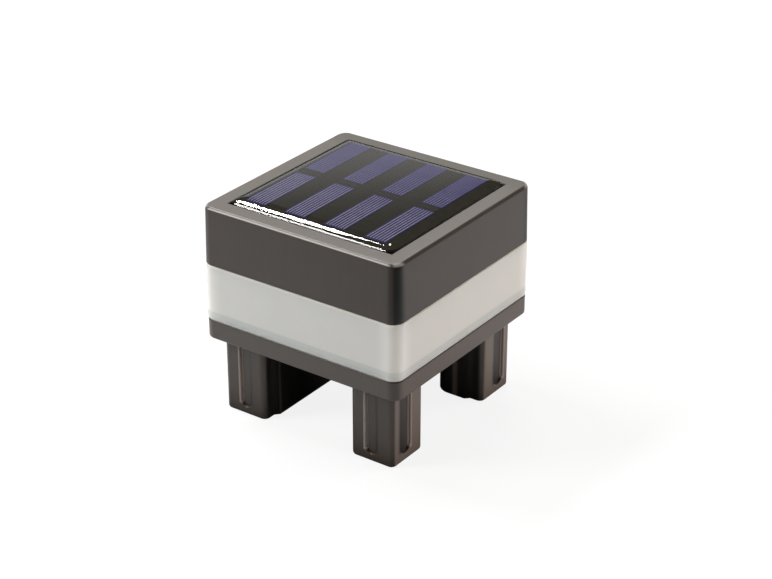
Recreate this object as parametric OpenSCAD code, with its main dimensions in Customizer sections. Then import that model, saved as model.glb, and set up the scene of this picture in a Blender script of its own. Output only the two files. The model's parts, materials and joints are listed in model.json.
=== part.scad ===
// Solar fence light for the top of a hollow square post.
// A dark plastic cap holds a small solar panel, a frosted band under it lets the light out,
// and a dark tray stands on two hollow legs and a battery box that slide into the post.
// Millimetres. The origin is the centre of the underside and +Z is up. The battery box is
// along the -X side, and the free legs are at the two +X corners.

/* [Body] */
// Width of the square body, the same as the post that it covers
body_w = 60; // [59:0.5:68]
// Radius of the body's upright corners
corner_r = 3.1; // [2.7:0.1:3.6]
// Height of the cap
cap_h = 15.9; // [15.5:0.1:20]
// Height of the frosted band
band_h = 15.3; // [14:0.1:18]
// Height of the tray below the band
tray_h = 5.4; // [5.2:0.1:7]
// Height of the legs below the tray
leg_h = 21.4; // [21.2:0.1:26]

/* [Cap] */
// Lean of each cap face towards the top
cap_draft = 0.3; // [0.1:0.1:0.5]
// Rounding of the cap's top edge
cap_edge_r = 1; // [0.6:0.1:1.2]
// Thickness of the cap's side walls
cap_wall = 1.8; // [1.5:0.1:2]
// Width of the rim round the panel
rim_w = 5.2; // [4.8:0.1:5.8]
// Thickness of the rim
rim_t = 1.8; // [1.5:0.1:2]
// Depth of the recess that the panel lies in
recess_depth = 2.1; // [1.9:0.1:2.4]
// Thickness of the recess's wall and floor
recess_t = 1.4; // [1.2:0.1:1.6]
// Thickness of the web above the cap's sealing groove
web_t = 1.5; // [1:0.1:2]

/* [Solar panel] */
// Gap between the panel and its recess
panel_gap = 0.4; // [0.3:0.1:0.8]
// Thickness of the foam tape under the panel
tape_t = 0.7; // [0.5:0.1:0.8]
// Width of the foam tape
tape_w = 4.4; // [3:0.1:5]
// Thickness of the panel's board
panel_board_t = 1.6; // [1.4:0.1:1.7]
// Rounding of the panel's corners
panel_corner_r = 2.6; // [2.4:0.1:3]
// Height of the clear resin above the rim
resin_proud = 1.5; // [1.4:0.1:1.7]
// Width of the resin's rounded edge
resin_edge_w = 2.3; // [1.5:0.1:2.4]
// Height of the resin's upright edge
resin_edge_h = 0.3; // [0.3:0.1:0.6]
// Number of columns of solar cells
cell_columns = 4; // [2:1:4]
// Gap between two columns of cells
cell_column_gap = 5.9; // [4:0.1:7]
// Margin of the panel beside the columns of cells
cell_side_gap = 0.2; // [0.2:0.1:2]
// Gap between the ends of the cells and the panel's edge
cell_end_gap = 2.3; // [1.9:0.05:4]
// Thickness of a solar cell
cell_t = 0.2; // [0.1:0.05:0.3]
// Gap between the two rows of cells
cell_row_gap = 3.1; // [2:0.1:4]
// Width of the ribbons that join the two rows of cells
ribbon_w = 1.2; // [0.8:0.1:2]
// Thickness of the ribbons
ribbon_t = 0.1; // [0.08:0.01:0.15]

/* [Frosted band] */
// How far the band stands proud of the body
band_proud = 0.1; // [0:0.05:0.3]
// Thickness of the band's wall
band_wall = 2.5; // [2.3:0.1:2.7]
// Thickness of the tongues along the band's edges
tongue_t = 0.85; // [0.7:0.05:0.9]
// Height of the tongues
tongue_h = 2.2; // [1.8:0.1:2.4]
// Rounding of the band's edges and of the edges beside it
edge_r = 0.35; // [0.2:0.05:0.5]
// Outer diameter of the band's screw posts
post_d = 5.4; // [5:0.1:5.6]
// Bore of the band's screw posts
post_bore_d = 2.5; // [2.4:0.1:2.6]
// How far the posts reach above the band's wall
post_rise = 2; // [1.5:0.1:2.5]
// Thickness of the rib between a post and the wall
post_rib_t = 1.2; // [0.8:0.1:1.6]
// Distance from a leg's inner face to the middle of a screw post, along X
post_clear = 3.8; // [3.6:0.1:5]

/* [Tray] */
// Thickness of the skin outside the sealing groove
skin_t = 1.4; // [1.2:0.1:1.6]
// Thickness of the tray's floor
floor_t = 1.8; // [1.6:0.1:2]
// Thickness of the lip inside the band
lip_t = 1.2; // [1:0.1:1.4]
// How far the lip stands above the tray
lip_rise = 2.5; // [1.5:0.1:3]
// Width of the shelf inside the lip
shelf_w = 1.4; // [1.2:0.1:1.6]
// Height of the shelf above the tray's floor
shelf_h = 4.1; // [4:0.1:4.6]
// Rounding of the tray's lower edge
tray_edge_r = 0.5; // [0.3:0.1:0.8]

/* [Legs] */
// Width of the seat between the body's face and the legs
seat_w = 3.45; // [3.2:0.05:3.7]
// Width of a leg
leg_w = 14.25; // [14.2:0.05:14.6]
// Wall of the legs and of the battery box
leg_wall = 1.45; // [1.3:0.05:1.6]
// Thickness of the bottom of the legs and of the battery box
leg_bottom_t = 1.4; // [1.2:0.1:1.6]
// Rounding of a leg's outer corner
leg_outer_r = 1.6; // [1:0.1:2]
// Rounding of a leg's inner corner
leg_inner_r = 4; // [3:0.1:5]
// Rounding of a leg's other two upright corners
leg_side_r = 1.8; // [1.4:0.1:2]
// Depth of the step in a leg's inner faces
step_depth = 1.1; // [0.8:0.1:1.1]
// Length of the stepped part of a leg's inner face
step_l = 3.6; // [3:0.1:4.2]
// Run of the slope at the step
step_run = 1.2; // [0.8:0.1:1.6]
// Depth of the flutes
flute_depth = 0.7; // [0.4:0.1:0.8]
// Width of the flutes in the faces along X
flute_w = 3.5; // [2:0.1:4]
// Distance from a leg's outer face to the middle of those flutes
flute_edge = 6.75; // [6.2:0.05:7.5]
// Width of the flutes in the faces along Y
side_flute_w = 4.6; // [2:0.1:5]
// Distance from a leg's outer face to the middle of those flutes
side_flute_edge = 5.35; // [5:0.05:6]
// Height of the flutes' rounded foot above the leg's bottom
flute_foot = 2.2; // [1.5:0.1:4]

/* [Battery] */
// Diameter of the battery that the box is made for
battery_full_d = 10.5; // [10:0.1:10.5]
// Length of that battery with its button
battery_full_l = 44.5; // [43:0.1:44.5]
// Diameter of the battery's button
button_d = 3.8; // [3:0.1:4.5]
// Height of the battery's button
button_h = 1; // [0.8:0.1:1.4]
// Thickness of the battery's printed sleeve
sleeve_t = 0.15; // [0.1:0.05:0.2]
// Thickness of the battery's steel can
can_t = 0.3; // [0.2:0.05:0.4]
// Thickness of the contact plates
contact_t = 0.4; // [0.3:0.05:0.5]
// How far a contact plate's edges lie inside the battery's outline
contact_inset = 1.45; // [1.3:0.05:2]
// Height of the bump on the positive contact
bump_h = 0.6; // [0.4:0.1:0.8]
// Diameter of the bump
bump_d = 3; // [2:0.1:3.6]
// Width of a contact's solder tab
tab_w = 3; // [2:0.1:3.4]
// Least length of the battery spring
spring_least_l = 4; // [3.6:0.1:4.2]
// Wire of the battery spring
spring_wire_d = 0.7; // [0.5:0.05:0.8]
// Turns of the battery spring
spring_turns = 3; // [2:1:3]

/* [Battery cover] */
// Thickness of the cover's plate
cover_t = 1.1; // [1:0.05:1.2]
// Thickness of the cover's rubber seal
cover_seal_t = 0.4; // [0.3:0.05:0.5]
// Width of the cover's rubber seal
cover_seal_w = 0.9; // [0.7:0.05:1]
// How far the cover lies back from the box's face
cover_back = 0.1; // [0.05:0.05:0.2]
// Thickness of the ledge behind the cover
ledge_t = 1; // [0.8:0.1:1.1]
// Diameter of the boss inside the cover
cover_boss_d = 4.6; // [4.4:0.1:4.7]

/* [Switch] */
// Place of the switch from the middle, along X
switch_x = 3; // [0:0.5:5]
// Length of the switch's case
switch_l = 8.6; // [8.4:0.1:9.6]
// Width of the switch's case
switch_w = 4.4; // [4.2:0.1:5.2]
// Height of the switch's case
switch_h = 3.5; // [3.2:0.1:3.6]
// Thickness of the switch's rubber seal
switch_seal_t = 0.5; // [0.4:0.1:0.6]
// Width of the switch's knob
knob_w = 2.2; // [1.8:0.1:2.4]
// How far the knob stands below the tray
knob_proud = 1.4; // [1:0.1:1.8]
// Travel of the knob
knob_travel = 2.4; // [1.8:0.1:2.6]
// Height of the guard round the knob
guard_h = 1.1; // [0.6:0.1:1.3]
// Thickness of the guard round the knob
guard_t = 1; // [0.8:0.1:1.4]

/* [Circuit] */
// Gap between the circuit board and the screw bosses beside it
board_gap = 1.8; // [1.4:0.1:3]
// Thickness of the circuit board
board_t = 1.2; // [1:0.1:1.6]
// Depth of the circuit board below the recess's floor
board_drop = 6.5; // [6.2:0.1:7]
// Diameter of the board's bosses
board_boss_d = 5; // [4.5:0.1:5.5]
// Distance from the board's edge to its screws
board_screw_edge = 3.5; // [3:0.1:4]
// Diameter of a lamp
led_d = 5; // [4.8:0.1:5.2]
// Height of a lamp's body
led_h = 8.6; // [7:0.1:9]
// Place of the lamps from the middle
led_place = 9.5; // [8.5:0.1:11]
// Diameter of the leads' insulation
lead_d = 1.1; // [0.9:0.1:1.2]

/* [Reflector] */
// Thickness of the reflector
reflector_t = 1; // [0.8:0.1:1.2]
// Gap between the reflector's raised part and the screw posts
reflector_side = 4.3; // [3.5:0.1:5.5]
// Width of the reflector's flat top
reflector_top_w = 12; // [10:0.5:14]
// Height of the reflector's raised part
reflector_rise = 6.6; // [6:0.1:7]

/* [Screws] */
// Diameter of the housing screws
screw_d = 2.3; // [2:0.1:2.3]
// Diameter of the housing screws' heads
screw_head_d = 4; // [3.6:0.1:4.2]
// Height of the housing screws' heads
screw_head_h = 1.5; // [1.2:0.1:1.6]
// Length of the housing screws below the head
screw_l = 9; // [7:0.5:9]
// Diameter of the small screws
small_screw_d = 1.8; // [1.6:0.1:1.8]
// Diameter of the small screws' heads
small_head_d = 3.4; // [3:0.1:3.6]
// Height of the small screws' heads
small_head_h = 1; // [0.8:0.1:1]
// Length of the small screws below the head
small_screw_l = 5; // [4:0.5:5.5]

/* [Hidden] */
$fn = 48;

// How far a cut runs past the face that it opens
over = 0.5;
// Clearance of a part that fits into another
fit = 0.15;
// Clearance of a part that slides
slide_fit = 0.25;
// Running clearance of a screw in its bore, on the radius
bore_fit = 0.1;
// Clearance of a screw head in its hole, on the radius
head_fit = 0.3;

// Heights of the joints between the main pieces
z_tray = leg_h;
z_floor = z_tray + floor_t;
z_band = z_tray + tray_h;
z_cap = z_band + band_h;
z_top = z_cap + cap_h;
z_lip = z_band + lip_rise;
z_shelf = z_floor + shelf_h;
z_recess = z_top - recess_depth;
z_recess_under = z_recess - recess_t;
z_panel = z_recess + tape_t;
z_cells = z_panel + panel_board_t;
z_resin = z_top + resin_proud;
gasket_h = tray_h - floor_t - tongue_h;
z_web = z_cap + tongue_h + gasket_h;

// Half widths of the square outlines, from the outside in
body_half = body_w / 2;
core_half = body_half - corner_r;
band_half = body_half + band_proud;
band_inner = band_half - band_wall;
tongue_half = band_inner + tongue_t;
groove_half = body_half - skin_t;
lip_half = band_inner - fit;
lip_inner = lip_half - lip_t;
lip_outer_r = max(lip_half - core_half, edge_r);
lip_inner_r = edge_r;
shelf_half = lip_inner - shelf_w;
recess_half = body_half - rim_w;
recess_wall_half = recess_half + recess_t;
panel_half = recess_half - panel_gap;
leg_half = body_half - seat_w;
leg_in = leg_half - leg_w;
leg_in_step = leg_in + step_depth;
step_start = leg_half - step_l;
flute_x = leg_half - flute_edge;
side_flute_y = leg_half - side_flute_edge;
post_x = leg_in - post_clear;
post_y = shelf_half - post_d / 2 - fit;

// The battery box along the -X side, given by its X places
cover_margin = 0.3;
box_face = -leg_half;
cover_face = box_face + cover_back;
cover_inner = cover_face + cover_t;
ledge_face = cover_inner + cover_seal_t;
box_in = ledge_face + ledge_t;
box_wall_x = -leg_in - leg_wall;
box_step_wall = 1;
box_step_x = -leg_in_step - box_step_wall;
box_end = leg_half - leg_wall;

// The opening in the box's outer face, and the cover and its screw in it
cover_hole_y = box_end - cover_margin;
cover_hole_low = leg_bottom_t;
cover_hole_high = leg_h - 2 * cover_margin;
cover_y = cover_hole_y - slide_fit;
cover_low = cover_hole_low + slide_fit;
cover_high = cover_hole_high - slide_fit;
cover_r = 0.8;
cover_web = 0.75;
cover_screw_z = cover_high - fit - cover_seal_w - cover_margin - cover_boss_d / 2;
screw_boss_d = cover_boss_d + 2 * cover_margin;
screw_boss_face = box_in + head_fit;
cover_boss_end = screw_boss_face - fit;

// The window behind the cover that lets the battery out
window_y = cover_hole_y - cover_seal_w - fit;
window_low = cover_hole_low + cover_seal_w + cover_margin;
window_high = cover_screw_z - cover_boss_d / 2 - fit - cover_web;

// The battery on its cradles, between its contacts
cradle_h = 1.65;
battery_low = leg_bottom_t + cradle_h;
battery_d = min(battery_full_d, window_high - fit - battery_low);
battery_r = battery_d / 2;
battery_x = box_step_x - fit - battery_r;
battery_z = battery_low + battery_r;
battery_l = min(battery_full_l, 2 * (box_end - contact_t) - bump_h - spring_least_l);
battery_tip = box_end - contact_t - bump_h;
battery_shoulder = battery_tip - button_h;
battery_foot = battery_tip - battery_l;
spring_l = battery_foot + box_end - contact_t;
contact_w = battery_d - 2 * contact_inset;
contact_top = battery_z + battery_r;
contact_bottom = battery_z - battery_r;
tab_top = z_floor + shelf_h / 2;

// The switch, from the tray's floor up
knob_flange_out = 1;
knob_flange_l = knob_w + 2 * knob_flange_out;
knob_flange_h = 1.2;
knob_rise = 0.3;
z_switch = z_floor + switch_seal_t;
z_switch_top = z_switch + switch_h;
clip_t = 1;
clip_h = 2.8;
pin_w = 0.6;
pin_h = 2.6;
pin_pitch = 2.5;

// The circuit board and its parts
z_board_top = z_recess_under - board_drop;
z_board = z_board_top - board_t;
boss_seat_t = 2;
z_post_top = z_cap + post_rise;
z_post_bottom = z_floor + boss_seat_t;
boss_out = 0.5;
boss_d = post_d + 2 * boss_out;
boss_seat_top = z_post_top + boss_seat_t;
board_half = post_y - boss_d / 2 - board_gap;
board_screw_x = board_half - board_screw_edge;
foot_seat = z_post_bottom - boss_seat_t + fit;
head_hole_d = screw_head_d + 2 * head_fit;
screw_hole_d = screw_d + 2 * bore_fit;
small_hole_d = small_screw_d + 2 * bore_fit;
led_flange_out = 0.35;
led_flange_d = led_d + 2 * led_flange_out;
led_flange_h = 1;
led_stand = 0.6;
leg_wire_w = 0.5;
led_leg_gap = 2.54;
chip_size = [5, 4, 1.5];
chip_place = [0, -6];
chip_stand = 0.15;
chip_leg_w = 0.4;
chip_leg_t = 0.2;
chip_leg_out = 1;
chip_leg_pitch = 1.27;
chip_leg_count = 4;
inductor_place = [-7, 7];
inductor_d = 7;
inductor_h = 5.2;
inductor_flange_t = 0.9;
inductor_core_d = 3.2;
coil_d = 6.2;
capacitor_place = [8, 7];
capacitor_d = 5;
capacitor_h = 5.6;
capacitor_ring = 0.3;
capacitor_groove_z = 1.2;
capacitor_groove_h = 0.5;
resistor_size = [2, 1.25, 0.55];
resistor_places = [[8, -4], [8, -7], [8, -10]];
panel_hole_d = 5;
panel_hole_edge = 5;
panel_hole_y = board_half - panel_hole_edge;
panel_pad_x = 1.3;
board_pad_x = 2.6;
lead_r = lead_d / 2;
reflector_gap = 0.25;
reflector_hole_d = 5;
reflector_foot_w = 2 * (post_y - post_d / 2 - reflector_side);
reflector_z_top = z_shelf + reflector_t + reflector_rise;
guard_gap = 1.1;
cross_w = 0.5;
cross_d = 1.8;
cross_depth = 0.5;
tray_pad_x = 1.2;

// Square with exact round corners
module rounded_square(half, r) {
    square([2 * half, 2 * (half - r)], center = true);
    square([2 * (half - r), 2 * half], center = true);
    for (x = [-1, 1], y = [-1, 1])
        translate([x * (half - r), y * (half - r)])
            circle(r);
}

// Rectangle with exact round corners, from its lowest corner
module rounded_plate(w, h, r) {
    translate([r, 0])
        square([w - 2 * r, h]);
    translate([0, r])
        square([w, h - 2 * r]);
    for (x = [r, w - r], y = [r, h - r])
        translate([x, y])
            circle(r);
}

// Upright square tube between two outlines
module square_ring(half, r, inner_half, inner_r, h) {
    linear_extrude(h)
        difference() {
            rounded_square(half, r);
            rounded_square(inner_half, inner_r);
        }
}

// Carries a profile round the body's square outline. The profile's x is measured outwards
// from the centres of the corner arcs, and its y is the height.
module around_body() {
    for (turn = [0:3])
        rotate(turn * 90) {
            translate([core_half, 0, 0])
                rotate([90, 0, 0])
                    linear_extrude(2 * core_half, center = true)
                        children();
            translate([core_half, core_half, 0])
                rotate_extrude(angle = 90)
                    children();
        }
}

// Points of an arc
function arc(centre, r, from, to, steps = 5) =
    [for (i = [0:steps])
        let (a = from + (to - from) * i / steps)
            centre + r * [cos(a), sin(a)]];

// Long hole with round ends, standing upright along Y
module long_hole(w, l) {
    square([w, l - w], center = true);
    for (y = [-1, 1])
        translate([0, y * (l - w) / 2])
            circle(w / 2);
}

// Repeats a thing at the four screw posts
module at_posts() {
    for (x = [-1, 1], y = [-1, 1])
        translate([x * post_x, y * post_y, 0])
            children();
}

// Repeats a thing at the circuit board's two screws
module at_board_screws() {
    for (x = [-1, 1])
        translate([x * board_screw_x, 0, 0])
            children();
}

// Pan head screw with a cross recess, standing on its tip with the head up
module screw(d, l, head_d, head_h) {
    difference() {
        union() {
            translate([0, 0, -l])
                cylinder(h = l, d = d);
            cylinder(h = head_h, d = head_d);
        }
        for (turn = [0, 90])
            rotate(turn)
                translate([-cross_d / 2, -cross_w / 2, head_h - cross_depth])
                    cube([cross_d, cross_w, cross_depth + over]);
    }
}

// Round tube swept along a list of points
function unit(v) = v / norm(v);
function directions(p) =
    [for (i = [0:len(p) - 1]) unit(p[min(i + 1, len(p) - 1)] - p[max(i - 1, 0)])];
function sideways(t) = abs(t.z) < 0.9 ? cross(t, [0, 0, 1]) : [1, 0, 0];
function carried(side, t) = unit(side - (side * t) * t);
function sides_along(t, i = 0, found = []) =
    i == len(t) ? found
    : sides_along(t, i + 1, concat(found, [carried(i == 0 ? sideways(t[0]) : found[i - 1], t[i])]));
corner_share = 0.25;
function cut_corners(p) =
    concat([p[0]],
           [for (i = [0:len(p) - 2])
               for (share = [corner_share, 1 - corner_share])
                   p[i] + (p[i + 1] - p[i]) * share],
           [p[len(p) - 1]]);
tube_sides = 8;
module tube(p, r) {
    t = directions(p);
    side = sides_along(t);
    points = [for (i = [0:len(p) - 1])
                 for (j = [0:tube_sides - 1])
                     let (a = 360 * j / tube_sides)
                         p[i] + r * (cos(a) * side[i] + sin(a) * cross(t[i], side[i]))];
    last = (len(p) - 1) * tube_sides;
    walls = [for (i = [0:len(p) - 2])
                for (j = [0:tube_sides - 1])
                    let (k = (j + 1) % tube_sides, a = i * tube_sides, b = a + tube_sides)
                        each [[a + j, b + j, b + k], [a + j, b + k, a + k]]];
    ends = [[for (j = [0:tube_sides - 1]) j],
            [for (j = [tube_sides - 1:-1:0]) last + j]];
    polyhedron(points = points, faces = concat(walls, ends));
}
module lead(p) {
    tube(cut_corners(cut_corners(p)), lead_r);
}

// The cap's outer form: leaning faces, round corners and a round top edge
module cap_block() {
    cap_top_r = corner_r - cap_draft;
    translate([0, 0, z_cap]) {
        around_body()
            polygon(concat([[0, 0]],
                           arc([corner_r - edge_r, edge_r], edge_r, -90, 0, 3),
                           arc([cap_top_r - cap_edge_r, cap_h - cap_edge_r], cap_edge_r, 0, 90),
                           [[0, cap_h]]));
        linear_extrude(cap_h)
            square(2 * core_half, center = true);
    }
}

module cap_shell() {
    color([0.30, 0.28, 0.26]) {
        difference() {
            cap_block();
            // The sealing groove and the space inside it
            translate([0, 0, z_cap - over])
                linear_extrude(z_web - z_cap + over)
                    rounded_square(groove_half, groove_half - core_half);
            translate([0, 0, z_web - over])
                linear_extrude(web_t + 2 * over)
                    rounded_square(lip_inner, lip_inner_r);
            // The space under the rim, round the recess
            translate([0, 0, z_web + web_t])
                difference() {
                    linear_extrude(z_top - rim_t - z_web - web_t)
                        rounded_square(body_half - cap_wall, corner_r - cap_wall);
                    translate([0, 0, z_recess_under - z_web - web_t])
                        linear_extrude(cap_h)
                            square(2 * recess_wall_half, center = true);
                }
            // The recess for the panel
            translate([0, 0, z_recess])
                linear_extrude(recess_depth + over)
                    square(2 * recess_half, center = true);
            // The holes down to the screws, and the one for the panel's leads
            at_posts()
                translate([0, 0, z_recess_under - over])
                    cylinder(h = recess_t + 2 * over, d = head_hole_d);
            translate([0, panel_hole_y, z_recess_under - over])
                cylinder(h = recess_t + 2 * over, d = panel_hole_d);
        }
        // The inner wall of the groove
        translate([0, 0, z_cap + fit])
            square_ring(lip_half, lip_outer_r, lip_inner, lip_inner_r, z_web + web_t / 2 - z_cap - fit);
        // The screw bosses, with the heads deep inside them
        at_posts()
            difference() {
                translate([0, 0, z_post_top])
                    cylinder(h = z_recess_under + recess_t / 2 - z_post_top, d = boss_d);
                translate([0, 0, boss_seat_top])
                    cylinder(h = z_recess - boss_seat_top, d = head_hole_d);
                translate([0, 0, z_post_top - over])
                    cylinder(h = boss_seat_t + 2 * over, d = screw_hole_d);
            }
        // The circuit board's bosses
        at_board_screws()
            difference() {
                translate([0, 0, z_board_top])
                    cylinder(h = board_drop + recess_t / 2, d = board_boss_d);
                translate([0, 0, z_board_top - over])
                    cylinder(h = board_drop + over, d = small_hole_d);
            }
    }
}

module panel_tape() {
    color([0.1, 0.1, 0.1])
        translate([0, 0, z_recess])
            linear_extrude(tape_t)
                difference() {
                    rounded_square(panel_half, panel_corner_r);
                    square(2 * (panel_half - tape_w), center = true);
                    at_posts()
                        circle(d = head_hole_d);
                }
}

module solar_board() {
    color([0.16, 0.17, 0.15])
        translate([0, 0, z_panel])
            linear_extrude(panel_board_t)
                rounded_square(panel_half, panel_corner_r);
}

// Where each cell's middle is
cell_pitch = 2 * (panel_half - cell_side_gap) / cell_columns;
cell_w = cell_pitch - cell_column_gap;
cell_l = panel_half - cell_end_gap - cell_row_gap / 2;
cell_y = (cell_l + cell_row_gap) / 2;
cell_places = [for (i = [0:cell_columns - 1], y = [-1, 1])
                  [(i - (cell_columns - 1) / 2) * cell_pitch, y * cell_y]];

module solar_cells() {
    color([0.20, 0.20, 0.38])
        for (place = cell_places)
            translate([place.x, place.y, z_cells + cell_t / 2])
                cube([cell_w, cell_l, cell_t], center = true);
}

// Ribbons that join the two cells of each column
module ribbons(grow = 0) {
    for (i = [0:cell_columns - 1])
        translate([(i - (cell_columns - 1) / 2) * cell_pitch, 0, z_cells + ribbon_t / 2 + grow / 2])
            cube([cell_w, ribbon_w, ribbon_t + grow], center = true);
}

module cell_ribbons() {
    color([0.12, 0.11, 0.11])
        ribbons();
}

module panel_resin() {
    resin_h = z_resin - z_cells;
    resin_core = panel_half - panel_corner_r;
    resin_rise = resin_h - resin_edge_h;
    resin_arc_share = 1 - resin_edge_w / panel_corner_r;
    profile = concat([[0, 0], [panel_corner_r, 0]],
                     [for (i = [0:6])
                         [panel_corner_r * resin_arc_share + resin_edge_w * cos(i * 15),
                          resin_edge_h + resin_rise * sin(i * 15)]],
                     [[0, resin_h]]);
    color([0.35, 0.36, 0.42, 0.35])
        difference() {
            translate([0, 0, z_cells]) {
                for (turn = [0:3])
                    rotate(turn * 90) {
                        translate([resin_core, 0, 0])
                            rotate([90, 0, 0])
                                linear_extrude(2 * resin_core, center = true)
                                    polygon(profile);
                        translate([resin_core, resin_core, 0])
                            rotate_extrude(angle = 90)
                                polygon(profile);
                    }
                linear_extrude(resin_h)
                    square(2 * resin_core, center = true);
            }
            for (place = cell_places)
                translate([place.x, place.y, z_cells - over / 2 + cell_t / 2])
                    cube([cell_w, cell_l, cell_t + over], center = true);
            translate([0, 0, -over])
                ribbons(over);
            ribbons();
        }
}

module gasket() {
    linear_extrude(gasket_h)
        difference() {
            rounded_square(tongue_half, tongue_half - core_half);
            rounded_square(band_inner, band_inner - core_half);
        }
}

module cap_gasket() {
    color([0.12, 0.12, 0.12])
        translate([0, 0, z_cap + tongue_h])
            gasket();
}

module band_gasket() {
    color([0.12, 0.12, 0.12])
        translate([0, 0, z_floor])
            gasket();
}

module light_band() {
    band_r = band_half - core_half;
    inner_x = band_inner - core_half;
    tongue_x = tongue_half - core_half;
    color([0.80, 0.79, 0.76, 0.9]) {
        translate([0, 0, z_band])
            around_body()
                polygon(concat([[inner_x, -tongue_h], [tongue_x, -tongue_h], [tongue_x, 0]],
                               arc([band_r - edge_r, edge_r], edge_r, -90, 0, 3),
                               arc([band_r - edge_r, band_h - edge_r], edge_r, 0, 90, 3),
                               [[tongue_x, band_h], [tongue_x, band_h + tongue_h],
                                [inner_x, band_h + tongue_h]]));
        at_posts()
            difference() {
                translate([0, 0, z_post_bottom])
                    cylinder(h = z_post_top - z_post_bottom, d = post_d);
                translate([0, 0, z_post_bottom - over])
                    cylinder(h = z_post_top - z_post_bottom + 2 * over, d = post_bore_d);
            }
        // The ribs that join the posts to the wall, above the tray's lip
        for (x = [-1, 1], y = [0, 1])
            mirror([0, y, 0])
                translate([x * post_x - post_rib_t / 2, post_y + post_d / 2 - post_rib_t / 2,
                           z_lip + slide_fit])
                    cube([post_rib_t, band_inner - post_y - post_d / 2 + post_rib_t,
                          z_cap - z_lip - 2 * slide_fit]);
    }
}

// Outline of a free leg in the +X +Y corner, with the steps in its inner faces
module leg_outline() {
    difference() {
        polygon([[leg_half, leg_half], [leg_in_step, leg_half], [leg_in_step, step_start],
                 [leg_in, step_start - step_run], [leg_in, leg_in],
                 [step_start - step_run, leg_in], [step_start, leg_in_step],
                 [leg_half, leg_in_step]]);
        translate([leg_half, leg_half])
            rotate(180)
                corner_cut(leg_outer_r);
        translate([leg_in, leg_in])
            corner_cut(leg_inner_r);
        translate([leg_in_step, leg_half])
            rotate(-90)
                corner_cut(leg_side_r);
        translate([leg_half, leg_in_step])
            rotate(90)
                corner_cut(leg_side_r);
    }
}

// What rounding takes off a corner at the origin that opens towards +X +Y
module corner_cut(r) {
    difference() {
        translate([-over, -over])
            square(r + over);
        translate([r, r])
            circle(r);
    }
}

// Hollow of a free leg
module leg_hollow() {
    hollow_in = leg_in_step + leg_wall;
    hollow_pad = leg_in + leg_wall;
    translate([hollow_in, hollow_in])
        square(box_end - hollow_in);
    translate([hollow_pad, hollow_pad])
        square(step_start - step_run - hollow_pad - leg_wall / 2);
}

// Outline of the battery box, whose ends look like two more legs
module box_outline() {
    difference() {
        polygon([for (y = [-1, 1])
                    each (y < 0
                          ? [[-leg_half, -leg_half], [-leg_in_step, -leg_half],
                             [-leg_in_step, -step_start], [-leg_in, step_run - step_start]]
                          : [[-leg_in, step_start - step_run], [-leg_in_step, step_start],
                             [-leg_in_step, leg_half], [-leg_half, leg_half]])]);
        for (y = [0, 1])
            mirror([0, y]) {
                translate([-leg_half, -leg_half])
                    corner_cut(leg_outer_r);
                translate([-leg_in_step, -leg_half])
                    rotate(90)
                        corner_cut(leg_side_r);
            }
    }
}

// Upright flute with a round foot, cut from a face whose outside is towards +Y
module flute(w) {
    translate([-w / 2, -flute_depth, flute_foot + w / 2])
        cube([w, flute_depth + over, leg_h - flute_foot - w / 2]);
    translate([0, -flute_depth, flute_foot + w / 2])
        rotate([-90, 0, 0])
            cylinder(h = flute_depth + over, d = w);
}

// The battery box with its rooms cut out
module battery_box() {
    difference() {
        linear_extrude(leg_h + floor_t / 2)
            box_outline();
        // The battery's room, and the narrower ends for its contacts
        translate([box_in, -step_start + step_run + leg_wall, leg_bottom_t])
            cube([box_wall_x - box_in, 2 * (step_start - step_run - leg_wall), leg_h - leg_bottom_t]);
        translate([box_in, -box_end, leg_bottom_t])
            cube([box_step_x - box_in, 2 * box_end, leg_h - leg_bottom_t]);
        // The cover's place in the outer face, and the window behind it
        translate([box_face - over, -cover_hole_y, cover_hole_low])
            rotate([90, 0, 90])
                linear_extrude(ledge_face - box_face + over)
                    rounded_plate(2 * cover_hole_y, cover_hole_high - cover_hole_low, cover_r);
        translate([ledge_face - over, -window_y, window_low])
            cube([ledge_t + 2 * over, 2 * window_y, window_high - window_low]);
        translate([ledge_face - over, 0, cover_screw_z])
            rotate([0, 90, 0])
                cylinder(h = ledge_t + 2 * over, d = cover_boss_d + 2 * fit);
    }
    // The boss that the cover's screw goes into
    difference() {
        translate([screw_boss_face, 0, cover_screw_z])
            rotate([0, 90, 0])
                cylinder(h = box_wall_x + leg_wall / 2 - screw_boss_face, d = screw_boss_d);
        translate([screw_boss_face - over, 0, cover_screw_z])
            rotate([0, 90, 0])
                cylinder(h = small_screw_l + over, d = small_hole_d);
    }
    // The two cradles under the battery
    for (y = [-1, 1])
        difference() {
            translate([battery_x - leg_wall, y * battery_l / 4 - leg_wall / 2, leg_bottom_t / 2])
                cube([box_wall_x + leg_wall / 2 - battery_x + leg_wall, leg_wall, battery_z]);
            translate([battery_x, y * battery_l / 4 - leg_wall, battery_z])
                rotate([-90, 0, 0])
                    cylinder(h = 2 * leg_wall, r = battery_r + fit);
            translate([battery_x - 2 * leg_wall, y * battery_l / 4 - leg_wall, battery_z])
                cube([battery_d, 2 * leg_wall, battery_d]);
        }
}

module tray_block() {
    translate([0, 0, z_tray]) {
        around_body()
            polygon(concat([[0, 0]],
                           arc([corner_r - tray_edge_r, tray_edge_r], tray_edge_r, -90, 0, 4),
                           arc([corner_r - edge_r, tray_h - edge_r], edge_r, 0, 90, 3),
                           [[0, tray_h]]));
        linear_extrude(tray_h)
            square(2 * core_half, center = true);
    }
}

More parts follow.
